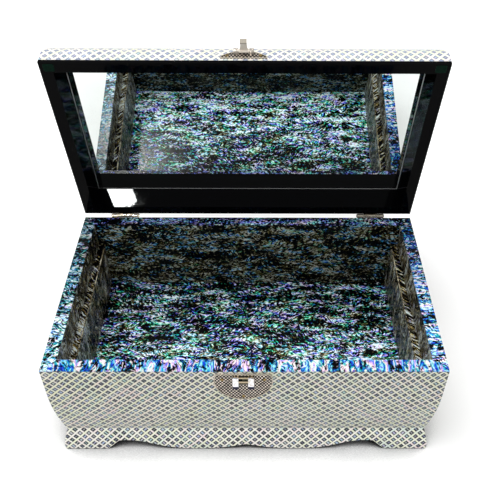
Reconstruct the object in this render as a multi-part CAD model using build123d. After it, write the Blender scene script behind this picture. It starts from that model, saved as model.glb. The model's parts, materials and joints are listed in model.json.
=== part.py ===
from build123d import *
import os

# Jewelry chest with a hinged lid, in millimetres
# X runs to the right, Y to the back and Z up, with the floor at Z = 0
# The lid and the hasp are modelled shut, then turned to the open pose at the end

# Case
CASE_WIDTH = 362.0
CASE_DEPTH = 209.5
RIM_HEIGHT = 126.0
RIM_WIDTH = 12.5
SHOULDER_DROP = 34.0
WAIST_TUCK = 6.0
SHEET = 1.0
FLOOR_THICKNESS = 7.5
TRAY_BOARD_THICKNESS = 7.2
TRAY_LEDGE_DROP = 31.8

# Plinth
BASE_HEIGHT = 27.5
APRON_THICKNESS = 10.0
FOOT_SPREAD = 6.0
FOOT_ROUNDING = 1.0
FOOT_CORNER_RADIUS = 3.0
BELLY_HEIGHT = 13.0
BELLY_TUCK = 2.1
FOOT_LENGTH = 42.5
FOOT_RISE_RUN = 12.5
FOOT_RISE = 12.0
ARCH_TURN_HEIGHT = 8.4
ARCH_TURN_SHARE = 0.587
LOBE_PLACE = 50.0
LOBE_GAP = 0.6
NOTCH_HEIGHT = 7.0
NOTCH_SWELL = 1.6
BLOCK_LEG = 24.0
BLOCK_LIFT = 1.0

# Lid
LID_GAP = 0.8
LID_UPRIGHT = 11.0
LID_EDGE_RADIUS = 27.0
RAIL_THICKNESS = 10.0
LID_RIM_WIDTH = 11.4
MOULDING_THICKNESS = 3.4
RECESS_DEPTH = 24.7
RECESS_SLOPE = 2.5
MIRROR_THICKNESS = 3.0
MIRROR_CLEARANCE = 0.2
MIRROR_BEVEL_WIDTH = 5.2
MIRROR_BEVEL_DEPTH = 0.8
BACKING_THICKNESS = 1.0
PAD_WIDTH = 10.0
PAD_DEPTH = 8.0
PAD_THICKNESS = 0.6
PAD_FRONT_INSET = 2.0
PAD_SIDE_INSET = 3.5
LID_OPEN_ANGLE = 78.7

# Hinges
HINGE_END_INSET = 44.4
HINGE_LENGTH = 29.6
CENTRE_KNUCKLE = 14.8
KNUCKLE_GAP = 0.2
KNUCKLE_RADIUS = 2.2
HINGE_OFFSET = 3.0
HINGE_PIN_RADIUS = 0.9
PIN_HEAD_RADIUS = 1.5
PIN_HEAD_LENGTH = 0.7
PIN_CLEARANCE = 0.05
LEAF_THICKNESS = 1.0
LEAF_HEIGHT = 9.0
LEAF_SETBACK = 2.2
SCREW_SPACING = 18.0
SCREW_HEAD_RADIUS = 1.7
SCREW_HEAD_HEIGHT = 0.9
SCREW_HEAD_ROUNDING = 0.7
SCREW_RADIUS = 0.8
SCREW_LENGTH = 8.0
SCREW_HOLE_CLEARANCE = 0.1

# Catch on the case and hasp on the lid
LATCH_X = -1.4
PLATE_THICKNESS = 1.0
CATCH_PLATE_RADIUS = 26.4
CATCH_PLATE_TOP_DROP = 3.2
CATCH_PLATE_CUT = 10.4
BRIDGE_TOP_DROP = 5.7
POST_HEIGHT = 11.9
POST_WIDTH = 5.3
POST_DEPTH = 3.0
CATCH_CHANNEL = 8.6
TOP_BAR_DEPTH = 1.2
TOP_BAR_DROP = 0.9
TOP_BAR_HEIGHT = 1.8
SLOT_HEIGHT = 4.6
CROSSBAR_HEIGHT = 2.4
CROSSBAR_DEPTH = 0.6
SLOT_POCKET = 2.0
NAIL_HEAD_RADIUS = 1.5
NAIL_HEAD_HEIGHT = 0.9
NAIL_HEAD_ROUNDING = 0.7
NAIL_RADIUS = 0.6
NAIL_LENGTH = 6.0
CATCH_NAIL_SPACING = 38.0
CATCH_NAIL_DROP = 11.0
CATCH_LOW_NAIL_DROP = 35.5
HASP_PLATE_LIFT = 5.3
HASP_PLATE_WIDTH = 41.2
HASP_PLATE_HEIGHT = 9.5
HASP_PLATE_END = 2.5
HASP_NAIL_SPACING = 29.4
HASP_NAIL_LIFT = 9.0
HASP_AXIS_LIFT = 12.2
HASP_STANDOFF = 3.6
HASP_PIN_RADIUS = 0.9
HASP_KNUCKLE_RADIUS = 2.0
HASP_KNUCKLE_LENGTH = 9.4
LUG_GAP = 0.3
LUG_WIDTH = 4.0
LUG_RADIUS = 2.3
TAB_THICKNESS = 1.0
TAB_TOP_WIDTH = 7.8
TAB_WAIST_WIDTH = 6.3
TAB_TIP_WIDTH = 5.9
TAB_WAIST_DROP = 8.0
LIP_THICKNESS = 1.6
LIP_DEPTH = 3.2
LIP_ROUNDING = 0.8
HASP_OPEN_ANGLE = 61.0

# How far crossed extrusions run past each other, so that no two faces of a cut coincide
OVERRUN = 10.0

# Sizes that follow from the ones above
HALF_WIDTH = CASE_WIDTH / 2
HALF_DEPTH = CASE_DEPTH / 2
CORE_TOP = RIM_HEIGHT - SHEET
FLOOR_TOP = BASE_HEIGHT + FLOOR_THICKNESS
WALL_INSET = RIM_WIDTH - SHEET
LEDGE_TOP = RIM_HEIGHT - TRAY_LEDGE_DROP
APRON_INSET = WAIST_TUCK + APRON_THICKNESS
FOOT_INSET = WAIST_TUCK - FOOT_SPREAD
LID_RIM = RIM_HEIGHT + LID_GAP
LID_TOP = LID_RIM + LID_UPRIGHT + LID_EDGE_RADIUS
MIRROR_FACE = LID_RIM + RECESS_DEPTH
BACKING_FACE = MIRROR_FACE + MIRROR_THICKNESS
PANEL_FACE = BACKING_FACE + BACKING_THICKNESS
HINGE_Y = HALF_DEPTH + HINGE_OFFSET
HINGE_Z = RIM_HEIGHT + LID_GAP / 2
LATCH_Y = -HALF_DEPTH
HASP_Y = LATCH_Y - HASP_STANDOFF
HASP_Z = LID_RIM + HASP_AXIS_LIFT
BRIDGE_TOP = RIM_HEIGHT - BRIDGE_TOP_DROP
SLOT_TOP = BRIDGE_TOP - TOP_BAR_DROP - TOP_BAR_HEIGHT
SLOT_MIDDLE = SLOT_TOP - SLOT_HEIGHT / 2
HASP_REACH = HASP_Z - SLOT_MIDDLE
LID_AXIS = Axis((0, HINGE_Y, HINGE_Z), (1, 0, 0))
HASP_AXIS = Axis((0, HASP_Y, HASP_Z), (1, 0, 0))
WEDGE_REACH = 2 * max(RIM_WIDTH, APRON_INSET, LID_RIM_WIDTH + RECESS_SLOPE)
SIDES = ("front", "right", "back", "left")


def box_between(low, high):
    """Box from its lowest corner to its highest."""
    size = [b - a for a, b in zip(low, high)]
    middle = [(a + b) / 2 for a, b in zip(low, high)]
    return Pos(*middle) * Box(*size)


def rod_x(x_from, x_to, y, z, radius):
    """Cylinder that lies along X."""
    return Pos((x_from + x_to) / 2, y, z) * Rot(0, 90, 0) * Cylinder(radius, x_to - x_from)


def rod_y(x, y_from, y_to, z, radius):
    """Cylinder that lies along Y."""
    return Pos(x, (y_from + y_to) / 2, z) * Rot(90, 0, 0) * Cylinder(radius, y_to - y_from)


def mirrored_face(right_side, foot, head):
    """Face between the right half of an outline, its mirror image and two level lines."""
    left_side = [mirror(edge, about=Plane.YZ) for edge in right_side]
    bottom = Line((-foot[0], foot[1]), foot)
    top = Line((-head[0], head[1]), head)
    return make_face([*right_side, *left_side, bottom, top])


def crossed_form(make_section):
    """Solid that shows the same section on all four sides, with mitred corners."""
    along_depth = extrude(Plane.XZ * make_section(HALF_WIDTH), amount=HALF_DEPTH + OVERRUN, both=True)
    along_width = extrude(Plane.YZ * make_section(HALF_DEPTH), amount=HALF_WIDTH + OVERRUN, both=True)
    return along_depth & along_width


def mitre_wedge(side):
    """Upright prism over one side of the frame, cut at 45 degrees at both corners."""
    inner_x = HALF_WIDTH - WEDGE_REACH
    inner_y = HALF_DEPTH - WEDGE_REACH
    signs = ((-1, -1), (1, -1), (1, 1), (-1, 1))
    start = SIDES.index(side)
    first = signs[start]
    second = signs[(start + 1) % len(signs)]
    corners = [
        (first[0] * HALF_WIDTH, first[1] * HALF_DEPTH),
        (second[0] * HALF_WIDTH, second[1] * HALF_DEPTH),
        (second[0] * inner_x, second[1] * inner_y),
        (first[0] * inner_x, first[1] * inner_y),
    ]
    return extrude(make_face(Polyline(*corners, close=True)), amount=LID_TOP)


def mitred(name, ring):
    """One piece for each side of a ring."""
    return {f"{name}_{side}": ring & mitre_wedge(side) for side in SIDES}


def inner_block(inset, low, high):
    """Box that keeps the same distance inside all four outer faces."""
    x = HALF_WIDTH - inset
    y = HALF_DEPTH - inset
    return box_between((-x, -y, low), (x, y, high))


def case_section(half):
    """Case core: drawn in at the waist and upright above the shoulder."""
    waist = (half - WAIST_TUCK, BASE_HEIGHT)
    shoulder = (half, RIM_HEIGHT - SHOULDER_DROP)
    top = (half, CORE_TOP)
    curve = TangentArc(shoulder, waist, tangent=(0, -1))
    return mirrored_face([curve, Line(shoulder, top)], waist, top)


def plinth_section(half):
    """Plinth: it swells out from the waist to the foot, with a rounded lower edge."""
    top = (half - WAIST_TUCK, BASE_HEIGHT)
    foot = half - FOOT_INSET
    belly = (foot - BELLY_TUCK, BELLY_HEIGHT)
    toe = (foot, FOOT_ROUNDING)
    sole = (foot - FOOT_ROUNDING, 0)
    swell = ThreePointArc(toe, belly, top)
    rounding = TangentArc(toe, sole, tangent=(0, -1))
    return mirrored_face([swell, rounding], sole, top)


def lid_section(half):
    """Lid without its edging: upright rails that round over to a level top."""
    low = (half, LID_RIM + MOULDING_THICKNESS)
    shoulder = (half, LID_RIM + LID_UPRIGHT)
    top = (half - LID_EDGE_RADIUS, LID_TOP)
    curve = TangentArc(shoulder, top, tangent=(0, 1))
    return mirrored_face([Line(low, shoulder), curve], low, top)


def nail(x, y, z, out, head_radius, head_height, rounding, radius, length):
    """Domed nail or screw along Y whose head lies on y and points out."""
    head = rod_y(x, *sorted((y, y + out * head_height)), z, head_radius)
    rims = head.edges().filter_by(GeomType.CIRCLE).sort_by(Axis.Y)
    crown = rims[-1] if out > 0 else rims[0]
    head = fillet(crown, rounding)
    return head + rod_y(x, *sorted((y, y - out * length)), z, radius)


def hinge_middles():
    """Name and centre of the left and the right hinge."""
    middle = HALF_WIDTH - HINGE_END_INSET
    return (("left", -middle), ("right", middle))


def leaf_rows():
    """Middle height of the leaf on the case and of the leaf on the lid."""
    reach = LEAF_SETBACK + LEAF_HEIGHT / 2
    return {"case": HINGE_Z - reach, "lid": HINGE_Z + reach}


def hinge_screws(owner):
    """The four screws that hold the two leaves of the case or of the lid."""
    leaf_face = HALF_DEPTH + LEAF_THICKNESS
    length = SCREW_LENGTH + LEAF_THICKNESS
    return [
        nail(
            middle + side * SCREW_SPACING / 2,
            leaf_face,
            leaf_rows()[owner],
            1,
            SCREW_HEAD_RADIUS,
            SCREW_HEAD_HEIGHT,
            SCREW_HEAD_ROUNDING,
            SCREW_RADIUS,
            length,
        )
        for _, middle in hinge_middles()
        for side in (-1, 1)
    ]


def latch_nails(places):
    """Nails through a plate on the front, at distances from the latch's middle."""
    return [
        nail(
            LATCH_X + x,
            LATCH_Y - PLATE_THICKNESS,
            z,
            -1,
            NAIL_HEAD_RADIUS,
            NAIL_HEAD_HEIGHT,
            NAIL_HEAD_ROUNDING,
            NAIL_RADIUS,
            NAIL_LENGTH + PLATE_THICKNESS,
        )
        for x, z in places
    ]


def catch_nail_places():
    """Two nails beside the bridge and one below it."""
    half = CATCH_NAIL_SPACING / 2
    high = RIM_HEIGHT - CATCH_NAIL_DROP
    return ((-half, high), (half, high), (0, RIM_HEIGHT - CATCH_LOW_NAIL_DROP))


def hasp_nail_places():
    """One nail beside each lug of the hasp plate."""
    half = HASP_NAIL_SPACING / 2
    return ((-half, LID_RIM + HASP_NAIL_LIFT), (half, LID_RIM + HASP_NAIL_LIFT))


def slot_cutter():
    """The catch's slot, through the plate and a little way into the wall."""
    half = CATCH_CHANNEL / 2
    low = (LATCH_X - half, LATCH_Y - PLATE_THICKNESS, SLOT_TOP - SLOT_HEIGHT)
    high = (LATCH_X + half, LATCH_Y + SLOT_POCKET, SLOT_TOP)
    return box_between(low, high)


def case_walls():
    """Four mitred walls with their pilot holes and the catch's pocket."""
    ring = crossed_form(case_section) - inner_block(WALL_INSET, BASE_HEIGHT, CORE_TOP)
    walls = mitred("case_wall", ring)
    for screw in hinge_screws("case"):
        walls["case_wall_back"] -= screw
    for pin in latch_nails(catch_nail_places()):
        walls["case_wall_front"] -= pin
    walls["case_wall_front"] -= slot_cutter()
    return walls


def floor_board():
    """Bottom board between the walls, on top of the plinth."""
    return {"floor_board": inner_block(WALL_INSET, BASE_HEIGHT, FLOOR_TOP)}


def rim_strips():
    """Abalone strips, mitred, on the walls and the linings."""
    ring = inner_block(0, CORE_TOP, RIM_HEIGHT) - inner_block(RIM_WIDTH, CORE_TOP, RIM_HEIGHT)
    return mitred("rim_strip", ring)


def linings():
    """Abalone sheets on the floor and on the four walls."""
    x = HALF_WIDTH - RIM_WIDTH
    y = HALF_DEPTH - RIM_WIDTH
    wall_y = HALF_DEPTH - WALL_INSET
    wall_x = HALF_WIDTH - WALL_INSET
    board_x = x - TRAY_BOARD_THICKNESS
    return {
        "lining_floor": box_between((-board_x, -y, FLOOR_TOP), (board_x, y, FLOOR_TOP + SHEET)),
        "lining_front": box_between((-x, -wall_y, FLOOR_TOP), (x, -y, CORE_TOP)),
        "lining_back": box_between((-x, y, FLOOR_TOP), (x, wall_y, CORE_TOP)),
        "lining_left": box_between((-wall_x, -wall_y, FLOOR_TOP), (-x, wall_y, CORE_TOP)),
        "lining_right": box_between((x, -wall_y, FLOOR_TOP), (wall_x, wall_y, CORE_TOP)),
    }


def tray_boards():
    """Boards along the side walls whose tops are the ledges for a tray."""
    outer = HALF_WIDTH - RIM_WIDTH
    inner = outer - TRAY_BOARD_THICKNESS
    y = HALF_DEPTH - RIM_WIDTH
    return {
        "tray_board_left": box_between((-outer, -y, FLOOR_TOP), (-inner, y, LEDGE_TOP)),
        "tray_board_right": box_between((inner, -y, FLOOR_TOP), (outer, y, LEDGE_TOP)),
    }


def scallop_face(half, lobe):
    """Opening under an apron: a steep foot, an arch and a lobe, mirrored about the middle."""
    foot_end = half - FOOT_LENGTH
    crest_end = foot_end - FOOT_RISE_RUN
    turn = lobe + ARCH_TURN_SHARE * (crest_end - lobe)
    turn_point = (turn, ARCH_TURN_HEIGHT)
    lobe_point = (lobe, LOBE_GAP)
    lobe_arc = TangentArc(lobe_point, turn_point, tangent=(1, 0))
    arch = TangentArc(turn_point, (crest_end, FOOT_RISE), tangent=lobe_arc % 1)
    steep = Line((crest_end, FOOT_RISE), (foot_end, 0))
    drop = Line((foot_end, 0), (foot_end, -FOOT_RISE))
    floor = Line((foot_end, -FOOT_RISE), (-foot_end, -FOOT_RISE))
    right = [lobe_arc, arch, steep, drop]
    if lobe > 0:
        notch_rise = ThreePointArc(lobe_point, notch_middle(lobe), (0, NOTCH_HEIGHT))
        right.append(notch_rise)
    left = [mirror(edge, about=Plane.YZ) for edge in right]
    return make_face([*right, *left, floor])


def notch_middle(lobe):
    """Point on the arc that rises from the lobe to the notch in the middle."""
    return (lobe / 2, LOBE_GAP + NOTCH_SWELL)


def foot_outline():
    """Block that rounds the plinth's upright corners."""
    width = CASE_WIDTH - 2 * FOOT_INSET
    depth = CASE_DEPTH - 2 * FOOT_INSET
    return extrude(RectangleRounded(width, depth, FOOT_CORNER_RADIUS), amount=BASE_HEIGHT)


def plinth():
    """Four mitred aprons with scalloped lower edges and bracket feet."""
    ring = crossed_form(plinth_section) & foot_outline() - inner_block(APRON_INSET, 0, BASE_HEIGHT)
    front_cut = extrude(Plane.XZ * scallop_face(HALF_WIDTH, LOBE_PLACE), HALF_DEPTH, both=True)
    side_cut = extrude(Plane.YZ * scallop_face(HALF_DEPTH, 0), HALF_WIDTH, both=True)
    aprons = mitred("plinth", ring)
    for side in ("front", "back"):
        aprons[f"plinth_{side}"] -= front_cut
    for side in ("left", "right"):
        aprons[f"plinth_{side}"] -= side_cut
    return aprons


def glue_blocks():
    """Three-cornered blocks in the plinth's corners, under the floor board."""
    x = HALF_WIDTH - APRON_INSET
    y = HALF_DEPTH - APRON_INSET
    blocks = []
    for side_x in (-1, 1):
        for side_y in (-1, 1):
            corners = [
                (side_x * x, side_y * y),
                (side_x * (x - BLOCK_LEG), side_y * y),
                (side_x * x, side_y * (y - BLOCK_LEG)),
            ]
            face = make_face(Polyline(*corners, close=True))
            blocks.append(Pos(0, 0, BLOCK_LIFT) * extrude(face, BASE_HEIGHT - BLOCK_LIFT))
    return {"glue_blocks": blocks}


def catch_plate():
    """Round plate on the front wall, cut straight under the rim."""
    top = RIM_HEIGHT - CATCH_PLATE_TOP_DROP
    middle = top - CATCH_PLATE_CUT
    disc = rod_y(LATCH_X, LATCH_Y - PLATE_THICKNESS, LATCH_Y, middle, CATCH_PLATE_RADIUS)
    above_low = (LATCH_X - CATCH_PLATE_RADIUS, LATCH_Y - PLATE_THICKNESS, top)
    above_high = (LATCH_X + CATCH_PLATE_RADIUS, LATCH_Y, middle + CATCH_PLATE_RADIUS)
    plate = disc - box_between(above_low, above_high) - slot_cutter()
    for pin in latch_nails(catch_nail_places()):
        plate -= pin
    return plate


def catch_bridge():
    """Two posts joined by a bar above and a bar below the slot."""
    face = LATCH_Y - PLATE_THICKNESS
    inner = CATCH_CHANNEL / 2
    outer = inner + POST_WIDTH
    low = BRIDGE_TOP - POST_HEIGHT
    left = box_between(
        (LATCH_X - outer, face - POST_DEPTH, low), (LATCH_X - inner, face, BRIDGE_TOP)
    )
    right = box_between(
        (LATCH_X + inner, face - POST_DEPTH, low), (LATCH_X + outer, face, BRIDGE_TOP)
    )
    top_bar = box_between(
        (LATCH_X - inner, face - TOP_BAR_DEPTH, SLOT_TOP),
        (LATCH_X + inner, face, SLOT_TOP + TOP_BAR_HEIGHT),
    )
    slot_low = SLOT_TOP - SLOT_HEIGHT
    crossbar = box_between(
        (LATCH_X - inner, face - CROSSBAR_DEPTH, slot_low - CROSSBAR_HEIGHT),
        (LATCH_X + inner, face, slot_low),
    )
    return left + right + top_bar + crossbar


def catch():
    """Plate, bridge and nails on the front wall."""
    return {
        "catch_plate": catch_plate(),
        "catch_bridge": catch_bridge(),
        "catch_nails": latch_nails(catch_nail_places()),
    }


def lid_rails():
    """Four mitred rails with a rounded upper edge and their pilot holes."""
    ring = crossed_form(lid_section) - inner_block(RAIL_THICKNESS, LID_RIM, LID_TOP)
    rails = mitred("lid_rail", ring)
    for screw in hinge_screws("lid"):
        rails["lid_rail_back"] -= screw
    for pin in latch_nails(hasp_nail_places()):
        rails["lid_rail_front"] -= pin
    return rails


def lid_panel():
    """Top board between the rails, rounded over with them."""
    return {"lid_panel": crossed_form(lid_section) & inner_block(RAIL_THICKNESS, PANEL_FACE, LID_TOP)}


def moulding_section(half):
    """Area outside the recess: its walls lean in towards the mirror."""
    mouth = half - LID_RIM_WIDTH
    low = (mouth, LID_RIM)
    high = (mouth - RECESS_SLOPE, MIRROR_FACE)
    return mirrored_face([Line(low, high)], low, high)


def lid_mouldings():
    """Lacquered edging, mitred: a flat face on the rim and a sloping wall in the recess."""
    face = inner_block(0, LID_RIM, LID_RIM + MOULDING_THICKNESS)
    wall = inner_block(RAIL_THICKNESS, LID_RIM, MIRROR_FACE)
    return mitred("lid_moulding", face + wall - crossed_form(moulding_section))


def mirror_pieces():
    """Bevelled mirror at the bottom of the recess, and the board behind it."""
    inset = RAIL_THICKNESS + MIRROR_CLEARANCE
    glass = inner_block(inset, MIRROR_FACE, BACKING_FACE)
    front_face = glass.faces().sort_by(Axis.Z)[0]
    glass = chamfer(
        front_face.edges(), MIRROR_BEVEL_WIDTH, MIRROR_BEVEL_DEPTH, reference=front_face
    )
    return {"mirror_glass": glass, "mirror_backing": inner_block(inset, BACKING_FACE, PANEL_FACE)}


def felt_pads():
    """Two pads on the lid's rim at the front corners."""
    y_low = -HALF_DEPTH + PAD_FRONT_INSET
    pads = []
    for side in (-1, 1):
        outer = side * (HALF_WIDTH - PAD_SIDE_INSET)
        inner = outer - side * PAD_WIDTH
        x_low, x_high = sorted((outer, inner))
        low = (x_low, y_low, LID_RIM - PAD_THICKNESS)
        pads.append(box_between(low, (x_high, y_low + PAD_DEPTH, LID_RIM)))
    return {"felt_pads": pads}


def hasp_plate_sheet():
    """The plate alone: straight below, short upright ends and a curved top."""
    low = LID_RIM + HASP_PLATE_LIFT
    end = low + HASP_PLATE_END
    x_low = LATCH_X - HASP_PLATE_WIDTH / 2
    x_high = LATCH_X + HASP_PLATE_WIDTH / 2
    sides = Polyline((x_low, end), (x_low, low), (x_high, low), (x_high, end))
    crown = ThreePointArc((x_high, end), (LATCH_X, low + HASP_PLATE_HEIGHT), (x_low, end))
    outline = make_face([*sides.edges(), crown])
    return Pos(0, LATCH_Y, 0) * extrude(Plane.XZ * outline, amount=PLATE_THICKNESS)


def hasp_plate():
    """Low curved plate on the front rail with two lugs for the hasp's pin."""
    plate = hasp_plate_sheet()
    inner = HASP_KNUCKLE_LENGTH / 2 + LUG_GAP
    for side in (-1, 1):
        ends = sorted((LATCH_X + side * inner, LATCH_X + side * (inner + LUG_WIDTH)))
        web = box_between(
            (ends[0], HASP_Y, HASP_Z - LUG_RADIUS), (ends[1], LATCH_Y, HASP_Z + LUG_RADIUS)
        )
        plate += web + rod_x(*ends, HASP_Y, HASP_Z, LUG_RADIUS)
    reach = inner + LUG_WIDTH
    bore = HASP_PIN_RADIUS + PIN_CLEARANCE
    plate -= rod_x(LATCH_X - reach, LATCH_X + reach, HASP_Y, HASP_Z, bore)
    for pin in latch_nails(hasp_nail_places()):
        plate -= pin
    return plate


def hasp_pin():
    """Pin through both lugs."""
    half = HASP_KNUCKLE_LENGTH / 2 + LUG_GAP + LUG_WIDTH
    return rod_x(LATCH_X - half, LATCH_X + half, HASP_Y, HASP_Z, HASP_PIN_RADIUS)


def lip_space(tip):
    """The end of the blade, which the lip takes."""
    half = TAB_TOP_WIDTH
    return box_between((-half, -TAB_THICKNESS, tip), (half, TAB_THICKNESS, tip + LIP_THICKNESS))


def hasp_tab():
    """Tongue with a waisted blade, a barrel on the pin and a lip that bends into the slot."""
    half = HASP_KNUCKLE_LENGTH / 2
    tip = -HASP_REACH - LIP_THICKNESS / 2
    outside = -TAB_THICKNESS / 2
    root = (TAB_TOP_WIDTH / 2, 0)
    waist = (TAB_WAIST_WIDTH / 2, -TAB_WAIST_DROP)
    corner = (TAB_TIP_WIDTH / 2, tip)
    flank = ThreePointArc(root, waist, corner)
    face = mirrored_face([flank], corner, root)
    blade = extrude(Plane.XZ * face, amount=TAB_THICKNESS / 2, both=True)
    barrel = rod_x(-half, half, 0, 0, HASP_KNUCKLE_RADIUS)
    lip_low = (-TAB_TIP_WIDTH / 2, outside, tip)
    lip_high = (TAB_TIP_WIDTH / 2, TAB_THICKNESS / 2 + LIP_DEPTH, tip + LIP_THICKNESS)
    lip = box_between(lip_low, lip_high)
    bend = lip.edges().filter_by(Axis.X).sort_by(Axis.Y)[:2].sort_by(Axis.Z)[0]
    tab = blade - lip_space(tip) + barrel + fillet(bend, LIP_ROUNDING)
    tab -= rod_x(-half, half, 0, 0, HASP_PIN_RADIUS + PIN_CLEARANCE)
    return {"hasp_tab": Pos(LATCH_X, HASP_Y, HASP_Z) * tab}


def hasp_mount():
    """Plate, pin and nails of the hasp on the lid."""
    return {
        "hasp_plate": hasp_plate(),
        "hasp_pin": hasp_pin(),
        "hasp_nails": latch_nails(hasp_nail_places()),
    }


def knuckle_spans(middle):
    """Ends of the case's two outer knuckles and of the lid's middle one."""
    half = HINGE_LENGTH / 2
    inner = CENTRE_KNUCKLE / 2
    outer_left = (middle - half, middle - inner - KNUCKLE_GAP)
    outer_right = (middle + inner + KNUCKLE_GAP, middle + half)
    return {"case": [outer_left, outer_right], "lid": [(middle - inner, middle + inner)]}


def hinge_leaf(owner, middle):
    """Leaf on the back face with its knuckles, screw holes and bore."""
    half = HINGE_LENGTH / 2
    back = HALF_DEPTH
    face = back + LEAF_THICKNESS
    row = leaf_rows()[owner]
    low = row - LEAF_HEIGHT / 2
    high = row + LEAF_HEIGHT / 2
    leaf = box_between((middle - half, back, low), (middle + half, face, high))
    for start, end in knuckle_spans(middle)[owner]:
        neck_low, neck_high = sorted((row, HINGE_Z))
        leaf += box_between((start, back, neck_low), (end, face, neck_high))
        leaf += rod_x(start, end, HINGE_Y, HINGE_Z, KNUCKLE_RADIUS)
    bore = HINGE_PIN_RADIUS + PIN_CLEARANCE
    leaf -= rod_x(middle - half, middle + half, HINGE_Y, HINGE_Z, bore)
    hole = SCREW_RADIUS + SCREW_HOLE_CLEARANCE
    for side in (-1, 1):
        leaf -= rod_y(middle + side * SCREW_SPACING / 2, back, face, row, hole)
    return leaf


def hinge_pin(middle):
    """Pin through the three knuckles with a head at each end."""
    half = HINGE_LENGTH / 2
    pin = rod_x(middle - half, middle + half, HINGE_Y, HINGE_Z, HINGE_PIN_RADIUS)
    for side in (-1, 1):
        ends = sorted((middle + side * half, middle + side * (half + PIN_HEAD_LENGTH)))
        pin += rod_x(*ends, HINGE_Y, HINGE_Z, PIN_HEAD_RADIUS)
    return pin


def case_hinges():
    """Leaves, pins and screws that stay with the case."""
    pieces = {"hinge_screws_case": hinge_screws("case")}
    for name, middle in hinge_middles():
        pieces[f"hinge_leaf_case_{name}"] = hinge_leaf("case", middle)
        pieces[f"hinge_pin_{name}"] = hinge_pin(middle)
    return pieces


def lid_hinges():
    """Leaves and screws that move with the lid."""
    pieces = {"hinge_screws_lid": hinge_screws("lid")}
    for name, middle in hinge_middles():
        pieces[f"hinge_leaf_lid_{name}"] = hinge_leaf("lid", middle)
    return pieces


def as_group(piece):
    """One shape for a node that may be a list of equal pieces."""
    items = piece if isinstance(piece, list) else [piece]
    solids = [solid for item in items for solid in item.solids()]
    return solids[0] if len(solids) == 1 else Compound(solids)


def build_case():
    """All pieces that stand still."""
    case = {**case_walls(), **floor_board(), **rim_strips(), **linings(), **tray_boards()}
    return {**case, **plinth(), **glue_blocks(), **catch(), **case_hinges()}


def build_lid():
    """All pieces that turn with the lid, shut."""
    lid = {**lid_rails(), **lid_panel(), **lid_mouldings(), **mirror_pieces(), **felt_pads()}
    return {**lid, **hasp_mount(), **lid_hinges()}


def opened(pieces):
    """The lid's pieces turned to the open pose."""
    return {name: as_group(piece).rotate(LID_AXIS, -LID_OPEN_ANGLE) for name, piece in pieces.items()}


def tab_opened(pieces):
    """The hasp's pieces swung off the lid's front, still with the lid shut."""
    return {
        name: as_group(piece).rotate(HASP_AXIS, -HASP_OPEN_ANGLE) for name, piece in pieces.items()
    }


bodies = {
    "case": {name: as_group(piece) for name, piece in build_case().items()},
    "lid": opened(build_lid()),
    "hasp": opened(tab_opened(hasp_tab())),
}
pieces = {name: piece for body in bodies.values() for name, piece in body.items()}

# The origin is under the middle of the open chest, on the floor
boxes = [piece.bounding_box() for piece in pieces.values()]
MIDDLE_Y = (min(box.min.Y for box in boxes) + max(box.max.Y for box in boxes)) / 2

os.makedirs("parts", exist_ok=True)
for name, piece in pieces.items():
    export_step(Pos(0, -MIDDLE_Y, 0) * piece, f"parts/{name}.step")
print(f"{len(pieces)} nodes, the case's middle is at Y {-MIDDLE_Y:.3f}")
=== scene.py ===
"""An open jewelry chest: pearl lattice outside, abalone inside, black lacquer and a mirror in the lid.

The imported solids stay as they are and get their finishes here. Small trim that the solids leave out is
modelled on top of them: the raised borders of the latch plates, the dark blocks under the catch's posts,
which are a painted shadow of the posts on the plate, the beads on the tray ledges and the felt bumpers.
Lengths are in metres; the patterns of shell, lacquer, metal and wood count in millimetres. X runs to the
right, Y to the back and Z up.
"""

import json
import logging
import math
from collections.abc import Callable, Sequence
from dataclasses import dataclass
from enum import Enum
from functools import cache
from itertools import count

import bpy
from mathutils import Matrix, Vector

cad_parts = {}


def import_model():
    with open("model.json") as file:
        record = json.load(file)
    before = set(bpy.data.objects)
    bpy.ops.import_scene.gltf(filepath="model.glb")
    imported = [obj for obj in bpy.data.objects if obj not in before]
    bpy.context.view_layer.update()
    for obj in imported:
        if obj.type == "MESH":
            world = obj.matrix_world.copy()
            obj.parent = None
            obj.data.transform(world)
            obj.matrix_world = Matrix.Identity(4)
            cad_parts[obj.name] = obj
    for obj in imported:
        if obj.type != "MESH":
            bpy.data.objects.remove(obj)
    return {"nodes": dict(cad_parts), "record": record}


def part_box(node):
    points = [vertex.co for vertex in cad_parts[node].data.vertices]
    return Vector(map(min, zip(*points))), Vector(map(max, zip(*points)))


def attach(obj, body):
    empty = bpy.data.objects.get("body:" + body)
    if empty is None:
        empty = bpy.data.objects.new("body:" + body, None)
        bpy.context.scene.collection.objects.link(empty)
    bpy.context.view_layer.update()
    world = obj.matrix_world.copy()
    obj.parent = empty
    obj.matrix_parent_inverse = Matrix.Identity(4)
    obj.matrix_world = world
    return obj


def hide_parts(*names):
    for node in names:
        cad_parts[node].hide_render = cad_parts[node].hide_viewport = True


LOG = logging.getLogger("jewelry_chest")

Colour = tuple[float, float, float, float]
Spot = tuple[float, float, float]
Span = tuple[float, float]
Stops = tuple[tuple[float, str], ...]
Key = str | int
Inputs = dict[Key, object]
Socket = bpy.types.NodeSocket
Node = bpy.types.Node
Tree = bpy.types.NodeTree
Material = bpy.types.Material
Piece = bpy.types.Object

MM_PER_METRE = 1000.0
TOUCH = 1e-6
ORIGIN: Spot = (0.0, 0.0, 0.0)
WHITE: Colour = (1.0, 1.0, 1.0, 1.0)


class Side(Enum):
    """Which way a faced board looks when the lid is shut."""

    FRONT = "front"
    RIGHT = "right"
    BACK = "back"
    LEFT = "left"
    TOP = "top"


RING = (Side.FRONT, Side.RIGHT, Side.BACK, Side.LEFT)


class Grain(Enum):
    """The axis that streaks or fibres run along."""

    X = 0
    Y = 1
    Z = 2


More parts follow.
